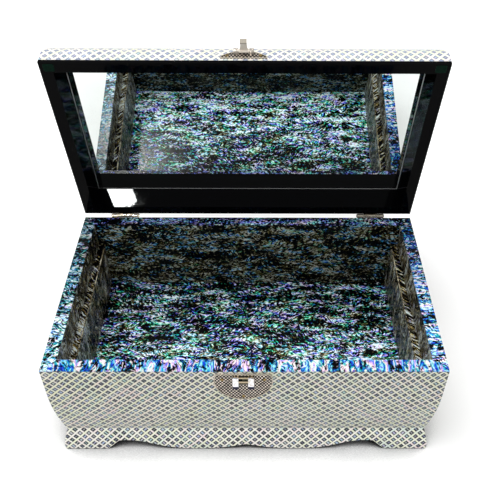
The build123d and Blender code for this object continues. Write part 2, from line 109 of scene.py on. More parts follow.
def shade(code: str) -> Colour:
    """Turns a written colour into the linear values that a shader takes.

    Args:
        code: six hexadecimal digits, red first.

    Returns:
        Red, green, blue and an alpha of 1.
    """
    parts = [int(code[start:start + 2], 16) / 255 for start in (0, 2, 4)]
    linear = [part / 12.92 if part <= 0.04045 else ((part + 0.055) / 1.055) ** 2.4 for part in parts]
    return *linear, 1.0


def hues(written: str) -> Stops:
    """Stops of a colour ramp, from places and colours that are written in turn."""
    words = written.split()
    return tuple((float(place), code) for place, code in zip(words[::2], words[1::2]))


def sum_of(operation: str) -> Callable[..., "Value"]:
    """A method that works out one sum on a value and whatever it is given."""
    return lambda self, *others: self.graph.maths(operation, self, *others)


@dataclass(frozen=True)
class Value:
    """A number, a vector or a colour in a graph; a sum on it adds the node that works it out."""

    graph: "Graph"
    socket: Socket

    __add__ = sum_of("ADD")
    __sub__ = sum_of("SUBTRACT")
    __mul__ = sum_of("MULTIPLY")
    __truediv__ = sum_of("DIVIDE")
    __abs__ = sum_of("ABSOLUTE")
    floor = sum_of("FLOOR")
    fract = sum_of("FRACT")
    most = sum_of("MAXIMUM")
    least = sum_of("MINIMUM")
    angle_over = sum_of("ARCTAN2")
    sine = sum_of("SINE")
    cosine = sum_of("COSINE")

    def __rsub__(self, other: float) -> "Value":
        """A plain number less this value."""
        return self.graph.maths("SUBTRACT", other, self)

    @property
    def wide(self) -> bool:
        """Whether it is a vector or a colour."""
        return self.socket.type in ("VECTOR", "RGBA")

    def remap(self, low: float, high: float, to_low: float = 0.0, to_high: float = 1.0) -> "Value":
        """The value taken smoothly from one range to another, and held at its ends."""
        inputs = {"Value": self, "From Min": low, "From Max": high, "To Min": to_low, "To Max": to_high}
        return self.graph.read("ShaderNodeMapRange", inputs, interpolation_type="SMOOTHSTEP")

    def split(self) -> list["Value"]:
        """The three parts of a vector or a colour."""
        node = self.graph.add("ShaderNodeSeparateXYZ", {0: self})
        return [Value(self.graph, socket) for socket in node.outputs]

    def length(self) -> "Value":
        """The length of a vector."""
        return self.graph.read("ShaderNodeVectorMath", {0: self}, 1, operation="LENGTH")


@dataclass
class Graph:
    """Writes shader nodes into one tree."""

    tree: Tree

    def add(self, kind: str, inputs: Inputs | None = None, **settings: object) -> Node:
        """Adds one node.

        Args:
            kind: the node's type name.
            inputs: values, plain numbers, vectors or written colours, by input name or place.
            settings: the node's own choices.

        Returns:
            The new node.
        """
        node = self.tree.nodes.new(kind)
        for key, value in settings.items():
            setattr(node, key, value)
        for key, value in (inputs or {}).items():
            if isinstance(value, Value):
                self.tree.links.new(value.socket, node.inputs[key])
            else:
                node.inputs[key].default_value = shade(value) if isinstance(value, str) else value
        return node

    def read(self, kind: str, inputs: Inputs | None = None, output: Key = 0, **settings: object) -> Value:
        """Adds one node and hands over one of its outputs."""
        return Value(self, self.add(kind, inputs, **settings).outputs[output])

    def maths(self, operation: str, *values: object) -> Value:
        """Adds one sum, which works on vectors where one of its values is a vector or a colour.

        Args:
            operation: name of the sum.
            values: values, plain numbers or vectors.

        Returns:
            Its result.
        """
        if not any(isinstance(value, tuple) or getattr(value, "wide", False) for value in values):
            return self.read("ShaderNodeMath", dict(enumerate(values)), operation=operation)
        spread = [(value,) * 3 if isinstance(value, float) else value for value in values]
        return self.read("ShaderNodeVectorMath", dict(enumerate(spread)), operation=operation)

    def mix(self, factor: object, first: object, second: object, blend: str = "MIX") -> Value:
        """Two colours mixed by a factor."""
        inputs = {0: factor, 6: first, 7: second}
        return self.read("ShaderNodeMix", inputs, 2, data_type="RGBA", blend_type=blend)

    def ramp(self, factor: Value, stops: Stops) -> Value:
        """Colours along a ramp.

        Args:
            factor: place on the ramp.
            stops: place and written colour of each stop.

        Returns:
            The colour there.
        """
        node = self.add("ShaderNodeValToRGB", {0: factor})
        points = node.color_ramp.elements
        while len(points) < len(stops):
            points.new(0.5)
        for point, (place, code) in zip(points, stops):
            point.position = place
            point.color = shade(code)
        return Value(self, node.outputs[0])

    def noise(self, place: Value, scale: float, detail: float, roughness: float, output: int = 0) -> Value:
        """Noise between 0 and 1; output 1 is its colour."""
        inputs = {"Vector": place, "Scale": scale, "Detail": detail, "Roughness": roughness}
        return self.read("ShaderNodeTexNoise", inputs, output)

    def drift(self, place: Value, scale: float, detail: float, roughness: float) -> Value:
        """A noise vector round zero."""
        return self.noise(place, scale, detail, roughness, 1) - 0.5

    def cells(self, place: Value, scale: float, output: int = 0) -> Value:
        """Distance to the nearest of scattered points; output 1 is that point's own colour."""
        return self.read("ShaderNodeTexVoronoi", {"Vector": place, "Scale": scale}, output)

    def chance(self, place: Value, output: int = 0) -> Value:
        """A random number for each place; output 1 is a random colour."""
        return self.read("ShaderNodeTexWhiteNoise", {"Vector": place}, output, noise_dimensions="3D")

    def join(self, x: object, y: object, z: object = 0.0) -> Value:
        """A vector from its three parts."""
        return self.read("ShaderNodeCombineXYZ", {0: x, 1: y, 2: z})

    def here(self, pose: "Pose | None" = None) -> Value:
        """Object coordinates of the surface; with a pose, those that it has once the lid is shut."""
        place = self.read("ShaderNodeTexCoord", output="Object")
        return pose.shut(place) if pose else place

    def along(self, place: Value, grain: Grain) -> Value:
        """A place in millimetres with the grain's axis first."""
        parts = place.split()
        first = parts.pop(grain.value)
        return self.join(first, *parts) * MM_PER_METRE

    def effect(self, tree: Tree, **inputs: object) -> dict[str, Value]:
        """Places a shared effect with its own inputs, and hands over its outputs by name."""
        node = self.add("ShaderNodeGroup", inputs, node_tree=tree)
        return {socket.name: Value(self, socket) for socket in node.outputs}


class Effect(Graph):
    """A shared node group, which puts out only colours, masks and heights."""

    def __init__(self, name: str, **inputs: object) -> None:
        """Starts the group.

        Args:
            name: name of the group.
            inputs: default value of each input, which also gives its kind.
        """
        super().__init__(bpy.data.node_groups.new(name, "ShaderNodeTree"))
        kinds = {float: "Float", tuple: "Vector", str: "Color"}
        for label, value in inputs.items():
            socket = self._socket(label, "INPUT", kinds[type(value)])
            socket.default_value = shade(value) if isinstance(value, str) else value
        self.given = {socket.name: Value(self, socket) for socket in self.add("NodeGroupInput").outputs}

    def _socket(self, label: str, way: str, kind: str) -> bpy.types.NodeTreeInterfaceSocket:
        """Adds one input or output to the group."""
        return self.tree.interface.new_socket(name=label, in_out=way, socket_type=f"NodeSocket{kind}")

    def close(self, **outputs: Value) -> Tree:
        """Adds the group's outputs and hands over its tree."""
        for label, value in outputs.items():
            self._socket(label, "OUTPUT", "Color" if value.wide else "Float")
        self.add("NodeGroupOutput", outputs)
        return self.tree


class Surface(Graph):
    """The nodes of one material, round one shader."""

    def __init__(self, name: str, **constants: float) -> None:
        """Starts the material.

        Args:
            name: the material's name.
            constants: the shader's constant inputs, with underscores for blanks.
        """
        self.material = bpy.data.materials.new(name)
        self.material.use_nodes = True
        super().__init__(self.material.node_tree)
        self.tree.nodes.clear()
        self.shader = self.add("ShaderNodeBsdfPrincipled")
        for key, value in constants.items():
            self.shader.inputs[key.replace("_", " ")].default_value = value
        self.add("ShaderNodeOutputMaterial", {"Surface": Value(self, self.shader.outputs[0])})

    def feed(self, key: str, value: Value) -> None:
        """Links a value to an input of the shader."""
        self.tree.links.new(value.socket, self.shader.inputs[key])

    def close(
        self, colour: Value, rough: Value,
        height: Value | None = None, depth: float = 0.0, strength: float = 0.5,
    ) -> Material:
        """Links what varies over the surface.

        Args:
            colour: base colour.
            rough: roughness.
            height: relief between 0 and 1, if it has any.
            depth: what a height of 1 stands for, in metres.
            strength: how much of the relief shows.

        Returns:
            The finished material.
        """
        self.feed("Base Color", colour)
        self.feed("Roughness", rough)
        if height is not None:
            inputs = {"Strength": strength, "Distance": depth, "Height": height}
            self.feed("Normal", self.read("ShaderNodeBump", inputs))
        return self.material


@cache
def lattice_effect() -> Tree:
    """Crossed strips of shell over small shell diamonds.

    Returns:
        A group whose Place is the spot on the flattened sheet, in metres.
    """
    g = Effect(
        "pearl lattice", Place=ORIGIN, Period=0.0086, Share=0.33, Falling=0.0, Rising=0.0,
        Strip="EFE9D6", Dark="5C646F", Light="A9AEB2", Core=0.5,
    )
    given = g.given
    place = given["Place"] + g.drift(given["Place"], 60.0, 2.0, 0.6) * 0.0012
    fine = place * MM_PER_METRE
    across, up, _ = place.split()
    turns = {"Falling": (across + up) / given["Period"], "Rising": (across - up) / given["Period"]}
    edge = given["Share"] * -0.5 + 0.5
    strips, seams, offsets = [], [], []
    for turn in turns.values():
        offset = abs(turn.fract() - 0.5)
        past = offset - edge
        strips.append(past.remap(-0.015, 0.015))
        seams.append(1.0 - abs(past).remap(0.0, 0.05))
        offsets.append(offset)
    # Small diamonds with a dark outline, each with a core in its own colour of shell
    own = g.chance(g.join(turns["Falling"].floor(), turns["Rising"].floor()), 1).split()
    ripple = g.noise(fine, 0.7, 3.0, 0.6)
    bright = own[0] * 0.5 + ripple * 0.5
    tint = g.ramp(own[1], hues("0 7C8CD8 .2 88CCC0 .4 D0C8C0 .6 9C90CC .8 7CA4D8 1 B8C0B8"))
    pale = g.mix(0.6, given["Light"], g.mix(1.0, given["Light"], tint, "MULTIPLY"))
    lean = (own[2] - 0.5) * 0.2
    inner = (offsets[0] + lean).most(offsets[1] - lean)
    lit = (inner - (bright * 0.16 + 0.09)).remap(0.04, -0.04)
    strength = bright.remap(0.15, 0.7, 0.4, 1.0) * given["Core"]
    colour = g.mix(lit * strength, given["Dark"], pale)
    # Strips over them, the rising ones on top
    cloud = g.noise(fine, 0.06, 2.0, 0.5)
    grain = g.noise(fine, 1.3, 2.0, 0.6).remap(0.35, 0.75, 0.0, 0.35)
    tints = hues(".25 FAE8EA .42 FFFDF4 .6 F6F8DC .75 E8F4EE")
    for (name, turn), strip, seam in zip(turns.items(), strips, seams):
        piece = g.chance(g.join((turn + 0.5).floor(), 3.7, 1.0))
        band = g.mix(1.0, given["Strip"], g.ramp(piece * 0.35 + cloud * 0.65, tints), "MULTIPLY")
        band = g.mix(grain, band, given["Light"])
        band = g.mix(given[name], band, given["Light"])
        colour = g.mix(seam * 0.7, colour, given["Dark"])
        colour = g.mix(strip, colour, band)
    both = strips[0].most(strips[1])
    return g.close(Color=colour, Strips=both, Height=both * 0.7 + ripple * 0.3)


@cache
def abalone_effect() -> Tree:
    """Abalone laid in rows of small sheets, each with growth lines in its own direction and colour.

    Returns:
        A group whose Place counts in millimetres with the grain first.
    """
    g = Effect(
        "abalone shell", Place=ORIGIN, Flake=1.1, Stretch=3.0, Row=8.0, Turn=1.4,
        Bands=0.5, Lines=2.4, Chips=0.4, Lift=0.0,
    )
    given = g.given
    place = given["Place"]
    along, second, third = place.split()
    across = second + third
    slow = g.drift(place, 0.05, 2.0, 0.5).split()
    quick = g.drift(place, 0.4, 2.0, 0.6).split()
    # Rows of sheets
    level = (slow[0] * 12.0 + across) / given["Row"]
    row = level.floor()
    shift = g.chance(g.join(row, 2.3, 0.7)) * 40.0
    column = ((slow[1] * 24.0 + along + shift) / (given["Row"] * 3.2)).floor()
    luck = g.chance(g.join(row, column, 5.1), 1).split()
    # Growth lines, turned by the sheet's own angle
    angle = (luck[0] - 0.5) * given["Turn"]
    run = along * angle.cosine() + across * angle.sine()
    rise = slow[2] * 16.0 + (quick[0] * 3.0 + (across * angle.cosine() - along * angle.sine()))
    chips = g.join(run / (given["Flake"] * given["Stretch"]), rise / given["Flake"], luck[1] * 9.0)
    lines = g.noise(chips, 1.0, 1.0, 0.5)
    own = g.cells(chips * 0.8, 1.0, 1).split()
    # Tone and hue
    cloud = g.noise(place * (0.03, 0.1, 0.1), 1.0, 2.0, 0.5)
    zone = g.noise(place * (0.04, 0.13, 0.13), 1.0, 1.0, 0.5, 1).split()
    tone = (lines - 0.5) * given["Lines"] + given["Lift"]
    tone = (own[0] - 0.5) * given["Chips"] + tone
    tone = (luck[2] - 0.5) * given["Bands"] + tone
    tone = tone + (cloud * 2.5 - 0.72)
    hue = (zone[0] * 3.4 + (own[1] * 0.22 + luck[1] * 0.35)).fract()
    seam = abs(level.fract() - 0.5)
    return g.close(
        Tone=tone,
        Hue=hue,
        Veins=seam.remap(0.44, 0.49),
        Glints=(own[2] * 0.3 + tone).remap(1.15, 1.6),
        Height=own[0] * 0.5 + lines * 0.5,
    )


@cache
def polish_effect() -> Tree:
    """Rubbed lacquer or glass: slow waves, fine scratches and a little dust, in millimetres."""
    g = Effect("polished coat", Place=ORIGIN)
    place = g.given["Place"]
    cloud = g.noise(place, 0.03, 3.0, 0.6)
    rubbed = g.noise(place * (0.12, 2.4, 1.2), 1.0, 3.0, 0.7).remap(0.5, 0.75) * cloud.remap(0.4, 0.7)
    dust = g.cells(place, 0.7).remap(0.12, 0.04) * cloud.remap(0.45, 0.62)
    return g.close(Height=g.noise(place, 0.09, 2.0, 0.5) * 0.9 + rubbed * 0.1, Rubbed=rubbed, Dust=dust)


@cache
def metal_effect() -> Tree:
    """Drawn or brushed metal: streaks along the first axis and clouded tarnish, in millimetres."""
    g = Effect("brushed metal", Place=ORIGIN)
    place = g.given["Place"]
    streaks = g.noise(place * (0.25, 7.0, 7.0), 1.0, 3.0, 0.6).remap(0.3, 0.7)
    cloud = g.noise(place, 0.35, 4.0, 0.6)
    return g.close(Streaks=streaks, Tarnish=cloud.remap(0.45, 0.7), Height=streaks * 0.6 + cloud * 0.4)


@cache
def wood_effect() -> Tree:
    """Planed board: growth bands and pores along the first axis, in millimetres."""
    g = Effect("planed board", Place=ORIGIN)
    place = g.given["Place"]
    bands = g.noise(place * (0.012, 0.14, 0.14), 1.0, 5.0, 0.6)
    pores = g.noise(place * (0.12, 2.5, 2.5), 1.0, 2.0, 0.6)
    return g.close(Bands=bands.remap(0.3, 0.7), Pores=pores.remap(0.62, 0.72), Height=bands - pores * 0.5)


@dataclass(frozen=True)
class Pose:
    """The lid's turn between shut and open, about its hinge line."""

    hinge: Spot
    angle: float

    def shut(self, place: Value) -> Value:
        """Turns a place on the open lid back to where it is when the lid is shut."""
        pivot = Vector(self.hinge)
        moved = pivot - Matrix.Rotation(self.angle, 3, "X") @ pivot
        inputs = {"Vector": place, "Location": tuple(moved), "Rotation": (self.angle, 0.0, 0.0)}
        return place.graph.read("ShaderNodeMapping", inputs, vector_type="POINT")

    def open_mesh(self, piece: Piece) -> None:
        """Turns a mesh that was modelled with the lid shut to the open lid."""
        pivot = Matrix.Translation(Vector(self.hinge))
        piece.data.transform(pivot @ Matrix.Rotation(-self.angle, 4, "X") @ pivot.inverted())
        piece.data.update()


@dataclass(frozen=True)
class Body:
    """Outer sizes that the lattice follows, shared by the case and the lid."""

    half_width: float
    front: float
    back: float
    shoulder: float = 0.092
    lid_rim: float = 0.1268
    lid_upright: float = 0.011
    lid_radius: float = 0.027

    @classmethod
    def measured(cls) -> "Body":
        """Takes the outer sizes from the case's walls."""
        half_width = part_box("case_wall_right")[1].x
        return cls(half_width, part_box("case_wall_front")[0].y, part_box("case_wall_back")[1].y)

    @property
    def middle(self) -> float:
        """Where the case's middle lies along Y."""
        return (self.front + self.back) / 2

    @property
    def half_depth(self) -> float:
        """Half of the case's depth."""
        return (self.back - self.front) / 2

    def depth(self, side: Side, place: Value) -> Value:
        """How far a place lies behind the outer face of one side."""
        x, y, _ = place.split()
        if side in (Side.FRONT, Side.TOP):
            return y - self.front
        if side is Side.BACK:
            return self.back - y
        return x + self.half_width if side is Side.LEFT else self.half_width - x

    def sheet_place(self, side: Side, place: Value, over_lid: bool) -> Value:
        """Place on the flattened sheet: along the side, and up round the lid's rounded edge.

        Args:
            side: the side that the sheet covers.
            place: object coordinates with the lid shut.
            over_lid: whether the sheet bends over the lid's edge.

        Returns:
            The flattened place, in metres.
        """
        x, y, z = place.split()
        along = y - self.middle if side in (Side.LEFT, Side.RIGHT) else x
        if not over_lid:
            return place.graph.join(along, z)
        depth = self.depth(side, place)
        height = z - self.lid_rim
        rise = (height - self.lid_upright).most(0.0)
        run = (self.lid_radius - depth).most(0.0)
        bend = rise.angle_over(run) * self.lid_radius
        flat = (depth - self.lid_radius).most(0.0)
        return place.graph.join(along, height.least(self.lid_upright) + (bend + flat))


def fields_of(finish: object, *labels: str) -> dict[str, object]:
    """The fields of a finish, by the inputs of an effect that they go to."""
    return {label: getattr(finish, label.lower()) for label in labels}


@dataclass(frozen=True)
class LatticeFinish:
    """Pearl lattice under clear lacquer, with bare board behind it."""

    strip: str
    dark: str
    light: str
    core: float
    share: float
    period: float = 0.0086
    lean: float = 0.0
    lean_reach: float = 0.09
    sheet_depth: float = 0.05
    underside: bool = False
    board: str = "1A1410"
    board_band: str = "4A3A2B"

    def material(self, name: str, body: Body, side: Side, pose: Pose | None) -> Material:
        """Builds the material of one side.

        Args:
            name: the material's name.
            body: the sizes that the sheet follows.
            side: which side it covers.
            pose: the lid's turn, or None on the case.

        Returns:
            The finished material.
        """
        g = Surface(name, Coat_Weight=0.2, Coat_Roughness=0.08, Specular_IOR_Level=0.3)
        place = g.here(pose)
        x, _, z = place.split()
        inputs = fields_of(self, "Period", "Share", "Strip", "Dark", "Light", "Core")
        inputs["Place"] = body.sheet_place(side, place, pose is not None)
        if self.lean and side is Side.FRONT:
            inputs["Falling"] = x.remap(self.lean_reach, -self.lean_reach, 0.0, self.lean)
            inputs["Rising"] = x.remap(-self.lean_reach, self.lean_reach, 0.0, self.lean)
        lattice = g.effect(lattice_effect(), **inputs)
        coat = g.effect(polish_effect(), Place=place * MM_PER_METRE)
        depth = body.depth(side, place)
        inside = depth.remap(self.sheet_depth, self.sheet_depth + 0.0005)
        if self.underside:
            facing = g.read("ShaderNodeNewGeometry", output="Normal").split()
            inside = inside.most(facing[2].remap(-0.75, -0.9))
        elif pose is None:
            # Above the shoulder the wall is upright, so that whatever lies behind its face is bare board
            upright = z.remap(body.shoulder, body.shoulder + 0.001)
            inside = inside.most(upright * depth.remap(0.0005, 0.0008))
        wood = g.effect(wood_effect(), Place=place * MM_PER_METRE)
        board = g.mix(wood["Bands"] * 0.3, self.board, self.board_band)
        rough = coat["Rubbed"] * 0.25 + lattice["Strips"].remap(0.0, 1.0, 0.3, 0.22)
        return g.close(g.mix(inside, lattice["Color"], board), rough, lattice["Height"], 0.00005)


@dataclass(frozen=True)
class AbaloneFinish:
    """Abalone sheet under clear lacquer: dark shell, coloured flakes and pale glints.

    The fields from flake to chips go to the shared effect. Tones in the span lit pass from dark to
    coloured. The spans lift and level brighten the shell from its back end to its front end, as painted
    light that darkens it towards the back of the case.
    """

    colours: Stops
    grain: Grain
    dark: str = "010102"
    glint: str = "EAFBFF"
    flake: float = 1.25
    stretch: float = 3.2
    row: float = 8.0
    turn: float = 1.4
    bands: float = 0.45
    lines: float = 4.4
    chips: float = 0.5
    lit: Span = (0.52, 0.9)
    veins: float = 0.3
    glints: float = 0.85
    gloss: float = 0.08
    painted_light_lift: Span | None = None
    level: Span | None = None
    ends: Span = (0.078, -0.11)

    def material(self, name: str, offset: float) -> Material:
        """Builds the material.

        Args:
            name: the material's name.
            offset: moves the pattern, so that no two pieces match.

        Returns:
            The finished material.
        """
        g = Surface(name, Specular_IOR_Level=self.gloss)
        here = g.here()
        y = here.split()[1]
        inputs = fields_of(self, "Flake", "Stretch", "Row", "Turn", "Bands", "Lines", "Chips")
        inputs["Place"] = g.along(here, self.grain) + (offset * 9, offset * 5, offset * 7)
        # Painted light: the tone is lifted towards the front of the case
        if self.painted_light_lift:
            inputs["Lift"] = y.remap(*self.ends, *self.painted_light_lift)
        shell = g.effect(abalone_effect(), **inputs)
        coat = g.effect(polish_effect(), Place=here * MM_PER_METRE)
        colour = g.mix(shell["Tone"].remap(*self.lit), self.dark, g.ramp(shell["Hue"], self.colours))
        colour = g.mix(shell["Veins"] * self.veins, colour, self.dark)
        colour = g.mix(shell["Glints"] * self.glints, colour, self.glint)
        # Painted light: the colour is brightened towards the front and darkened towards the back
        if self.level:
            level = y.remap(*self.ends, *self.level)
            colour = g.mix(1.0, colour, g.join(level, level, level), "MULTIPLY")
        rough = shell["Tone"].remap(0.0, 1.0, 0.2, 0.4)
        return g.close(colour, rough, shell["Height"] * 0.4 + coat["Height"] * 0.6, 0.00015)


@dataclass(frozen=True)
class LacquerFinish:
    """Black lacquer, polished, with slow waves, fine rubbing and dust."""

    colour: str = "010102"
    worn: str = "040508"

    def material(self, name: str) -> Material:
        """Builds the material."""
        g = Surface(name, Specular_IOR_Level=0.03)
        coat = g.effect(polish_effect(), Place=g.here() * MM_PER_METRE)
        colour = g.mix(coat["Rubbed"].most(coat["Dust"]), self.colour, self.worn)
        return g.close(colour, coat["Rubbed"].remap(0.0, 1.0, 0.03, 0.12), coat["Height"], 0.0001)


@dataclass(frozen=True)
class MirrorFinish:
    """Silvered glass with a faint green cast, a little dust and a pale ground edge."""

    silver: str = "E9EEEC"
    dust: str = "B9BCBA"
    ground: str = "F4F6F6"
    inset: float = 0.0139
    edge: float = 0.0007

    def material(self, name: str, body: Body, pose: Pose) -> Material:
        """Builds the material; the ground edge runs along the recess of the lid.

        Args:
            name: the material's name.
            body: outer sizes of the lid.
            pose: the lid's turn.

        Returns:
            The finished material.
        """
        g = Surface(name, Metallic=1.0)
        x, y, _ = g.here(pose).split()
        coat = g.effect(polish_effect(), Place=g.here() * MM_PER_METRE)
        past = (abs(x) - body.half_width).most(abs(y - body.middle) - body.half_depth)
        border = -self.inset - self.edge
        ground = past.remap(border - 0.0001, border + 0.0001)
        silver = g.mix(coat["Dust"], self.silver, self.dust)
        rough = ground * 0.6 + coat["Dust"].remap(0.0, 1.0, 0.0, 0.15)
        return g.close(g.mix(ground, silver, self.ground), rough)


@dataclass(frozen=True)
class MetalFinish:
    """Drawn, brushed or plated metal; what lies behind the recess has the colour of the tarnish.

    Behind the recess that colour is painted light: painted shade on the catch's recessed bar, and a paler
    painted tone on the blade of the hasp's tab.
    """

    colour: str
    tarnish: str
    grain: Grain
    smooth: float
    rough: float
    recess: float | None = None
    metallic: float = 1.0
    age: float = 0.7
    depth: float = 0.00002

    def material(self, name: str) -> Material:
        """Builds the material."""
        g = Surface(name, Metallic=self.metallic)
        here = g.here()
        metal = g.effect(metal_effect(), Place=g.along(here, self.grain))
        tarnish_and_light = metal["Tarnish"] * self.age
        # Painted light and shade: behind the recess plane the tarnish colour is laid on in full
        if self.recess is not None:
            tarnish_and_light = tarnish_and_light.most(here.split()[1].remap(self.recess - 0.0002, self.recess + 0.0002))
        rough = metal["Streaks"].remap(0.0, 1.0, self.smooth, self.rough)
        return g.close(g.mix(tarnish_and_light, self.colour, self.tarnish), rough, metal["Height"], self.depth)


@dataclass(frozen=True)
class PewterFinish:
    """Cast pewter punched with small dimples on its face, and plain beside it."""

    pale: str = "FFF4E6"
    dark: str = "040302"
    pitch: float = 0.0031
    tall: float = 1.35
    face: float = -0.1214
    plain: float = 0.4

    def material(self, name: str, pose: Pose | None, slot: Sequence[float] = ()) -> Material:
        """Builds the plate's material.

        Args:
            name: the material's name.
            pose: the lid's turn for a plate on the lid, or None on the case.
            slot: left, right, lower and upper end of the recess behind the catch, if it has one; the plate
            is painted dark there, as painted shade in the recess.

        Returns:
            The finished material.
        """
        g = Surface(name, Metallic=0.75, Specular_IOR_Level=0.5)
        place = g.here(pose)
        x, y, z = place.split()
        off_face = abs(y - self.face).remap(0.0001, 0.0004, 0.0, self.plain)
        sheet = g.join(x, z) / (self.pitch, self.pitch * self.tall, self.pitch)
        across, up, _ = (sheet + g.drift(sheet, 0.5, 1.0, 0.5) * 0.5).split()
        away = g.join((across + up).fract() - 0.5, (across - up).fract() - 0.5)
        wear = g.noise(sheet, 0.5, 3.0, 0.6)
        mask = (1.0 - away.length().remap(0.54, 0.42)) * wear.remap(0.3, 0.6, 0.5, 1.0)
        mask = mask.most(off_face)
        # Painted shade: inside the catch's slot the plate takes its dark colour
        if slot:
            left, right, low, high = slot
            painted_slot_shade = (x - left).least(right - x).least((z - low).least(high - z))
            mask = mask * painted_slot_shade.remap(-0.0001, 0.0001, 1.0, 0.0)
        return g.close(g.mix(mask, self.dark, self.pale), mask.remap(0.0, 1.0, 0.6, 0.32), mask, 0.0002, 0.8)


@dataclass(frozen=True)
class FeltFinish:
    """Green felt with loose fibres."""

    dark: str = "02100A"
    pale: str = "06261A"

    def material(self, name: str) -> Material:
        """Builds the material."""
        g = Surface(name, Sheen_Weight=0.05, Sheen_Roughness=0.5, Specular_IOR_Level=0.02)
        place = g.here() * MM_PER_METRE
        fibres = g.noise(place, 3.0, 4.0, 0.75)
        nap = fibres * 0.7 + g.noise(place, 0.8, 2.0, 0.5) * 0.3
        colour = g.mix(nap.remap(0.35, 0.65), self.dark, self.pale)
        return g.close(colour, fibres.remap(0.0, 1.0, 0.85, 1.0), nap, 0.0003, 0.9)


@dataclass(frozen=True)
class BoardFinish:
    """Bare board, stained dark, as it is under the case."""

    pale: str = "5C4632"
    dark: str = "2E2119"
    grain: Grain = Grain.X
    pore: str = "1A120C"

    def material(self, name: str) -> Material:
        """Builds the material."""
        g = Surface(name, Specular_IOR_Level=0.3)
        wood = g.effect(wood_effect(), Place=g.along(g.here(), self.grain))
        colour = g.mix(wood["Bands"], self.dark, self.pale)
        colour = g.mix(wood["Pores"] * 0.6, colour, self.pore)
        return g.close(colour, wood["Bands"].remap(0.0, 1.0, 0.7, 0.55), wood["Height"], 0.0002)


def dress(piece: Piece, material: Material) -> None:
    """Gives every slot of a piece one material."""
    if not piece.material_slots:
        piece.data.materials.append(material)
    for slot in piece.material_slots:
        slot.material = material


class Bench:
    """Makes one new mesh with the modelling operators, as by hand."""

    def __init__(self, name: str) -> None:
        """Clears the selection, so that the operators see only the new piece."""
        self.name = name
        bpy.ops.object.select_all(action="DESELECT")

    @property
    def piece(self) -> Piece:
        """The piece on the bench."""
        return bpy.context.view_layer.objects.active

    def disc(self, place: Spot, radius: float, sides: int = 96) -> None:
        """Starts from a filled circle that faces the front."""
        turn = (math.pi / 2, 0.0, 0.0)
        shape = {"vertices": sides, "radius": radius, "fill_type": "NGON"}
        bpy.ops.mesh.primitive_circle_add(**shape, location=place, rotation=turn)
        self.settle()

    def block(self, low: Sequence[float], high: Sequence[float]) -> None:
        """Starts from a block between two corners."""
        middle = [(a + b) / 2 for a, b in zip(low, high)]
        size = [b - a for a, b in zip(low, high)]
        bpy.ops.mesh.primitive_cube_add(size=1.0, location=middle, scale=size)
        self.settle()

    def settle(self) -> None:
        """Names the new piece and puts its place into its mesh."""
        self.piece.name = self.name
        self.piece.data.name = self.name
        bpy.ops.object.transform_apply(location=True, rotation=True, scale=True)

    def edit(self, action: str = "SELECT") -> None:
        """Opens edit mode with everything selected, or with nothing."""
        bpy.ops.object.mode_set(mode="EDIT")
        bpy.ops.mesh.select_all(action=action)

    def done(self) -> Piece:
        """Closes edit mode and hands over the piece."""
        if self.piece.mode != "OBJECT":
            bpy.ops.object.mode_set(mode="OBJECT")
        return self.piece

    def choose_faces(self, wanted: Callable[[bpy.types.MeshPolygon], bool]) -> None:
        """Selects only the faces that pass the test, and opens edit mode on them."""
        bpy.context.tool_settings.mesh_select_mode = (False, False, True)
        self.edit("DESELECT")
        for face in self.done().data.polygons:
            face.select = wanted(face)
        bpy.ops.object.mode_set(mode="EDIT")

    def choose_edges(self, wanted: Callable[[Vector, Vector], bool]) -> None:
        """Selects only the edges whose two ends pass the test, and opens edit mode on them."""
        bpy.context.tool_settings.mesh_select_mode = (False, True, False)
        self.edit("DESELECT")
        mesh = self.done().data
        for edge in mesh.edges:
            a, b = edge.vertices
            edge.select = wanted(mesh.vertices[a].co, mesh.vertices[b].co)
        bpy.ops.object.mode_set(mode="EDIT")

    def smooth(self, degrees: float) -> Piece:
        """Shades the faces smooth where they meet at less than an angle."""
        self.done()
        bpy.ops.object.shade_smooth_by_angle(angle=math.radians(degrees))
        return self.piece

    def outward(self, merge: float = 0.000005) -> None:
        """Closes doubles and points every face outwards."""
        self.edit()
        bpy.ops.mesh.remove_doubles(threshold=merge)
        bpy.ops.mesh.normals_make_consistent(inside=False)
        self.done()


@dataclass
class PlateBorder:
    """Raised border of a round plate that is cut straight on one side."""

    name: str
    centre: Spot
    radius: float
    cut: float
    keep_above: bool
    half_width: float = 0.0
    width: float = 0.0007
    height: float = 0.0005
    rounding: float = 0.0002

    def build(self) -> Piece:
        """Models the border on the plate's face, with the lid shut.

        Returns:
            The border.
        """
        bench = Bench(self.name)
        bench.disc(self.centre, self.radius)
        bench.edit()
        x, y, z = self.centre
        cuts = [((x, y, self.cut), (0.0, 0.0, -1.0 if self.keep_above else 1.0))]
        if self.half_width:
            cuts += [((x + side * self.half_width, y, z), (side, 0.0, 0.0)) for side in (-1, 1)]
        for place, away in cuts:
            bpy.ops.mesh.select_all(action="SELECT")
            bpy.ops.mesh.bisect(plane_co=place, plane_no=away, clear_outer=True)
        bpy.ops.mesh.select_all(action="SELECT")
        bpy.ops.mesh.inset(thickness=self.width, use_boundary=True)
        bpy.ops.mesh.delete(type="FACE")
        bpy.ops.mesh.select_all(action="SELECT")
        bpy.ops.mesh.extrude_region_move(TRANSFORM_OT_translate={"value": (0.0, -self.height, 0.0)})
        bench.outward()
        bevel = bench.piece.modifiers.new("rounding", "BEVEL")
        bevel.width = self.rounding
        bevel.segments = 2
        bevel.limit_method = "ANGLE"
        bevel.angle_limit = math.radians(40)
        bpy.ops.object.modifier_apply(modifier=bevel.name)
        return bench.smooth(35)


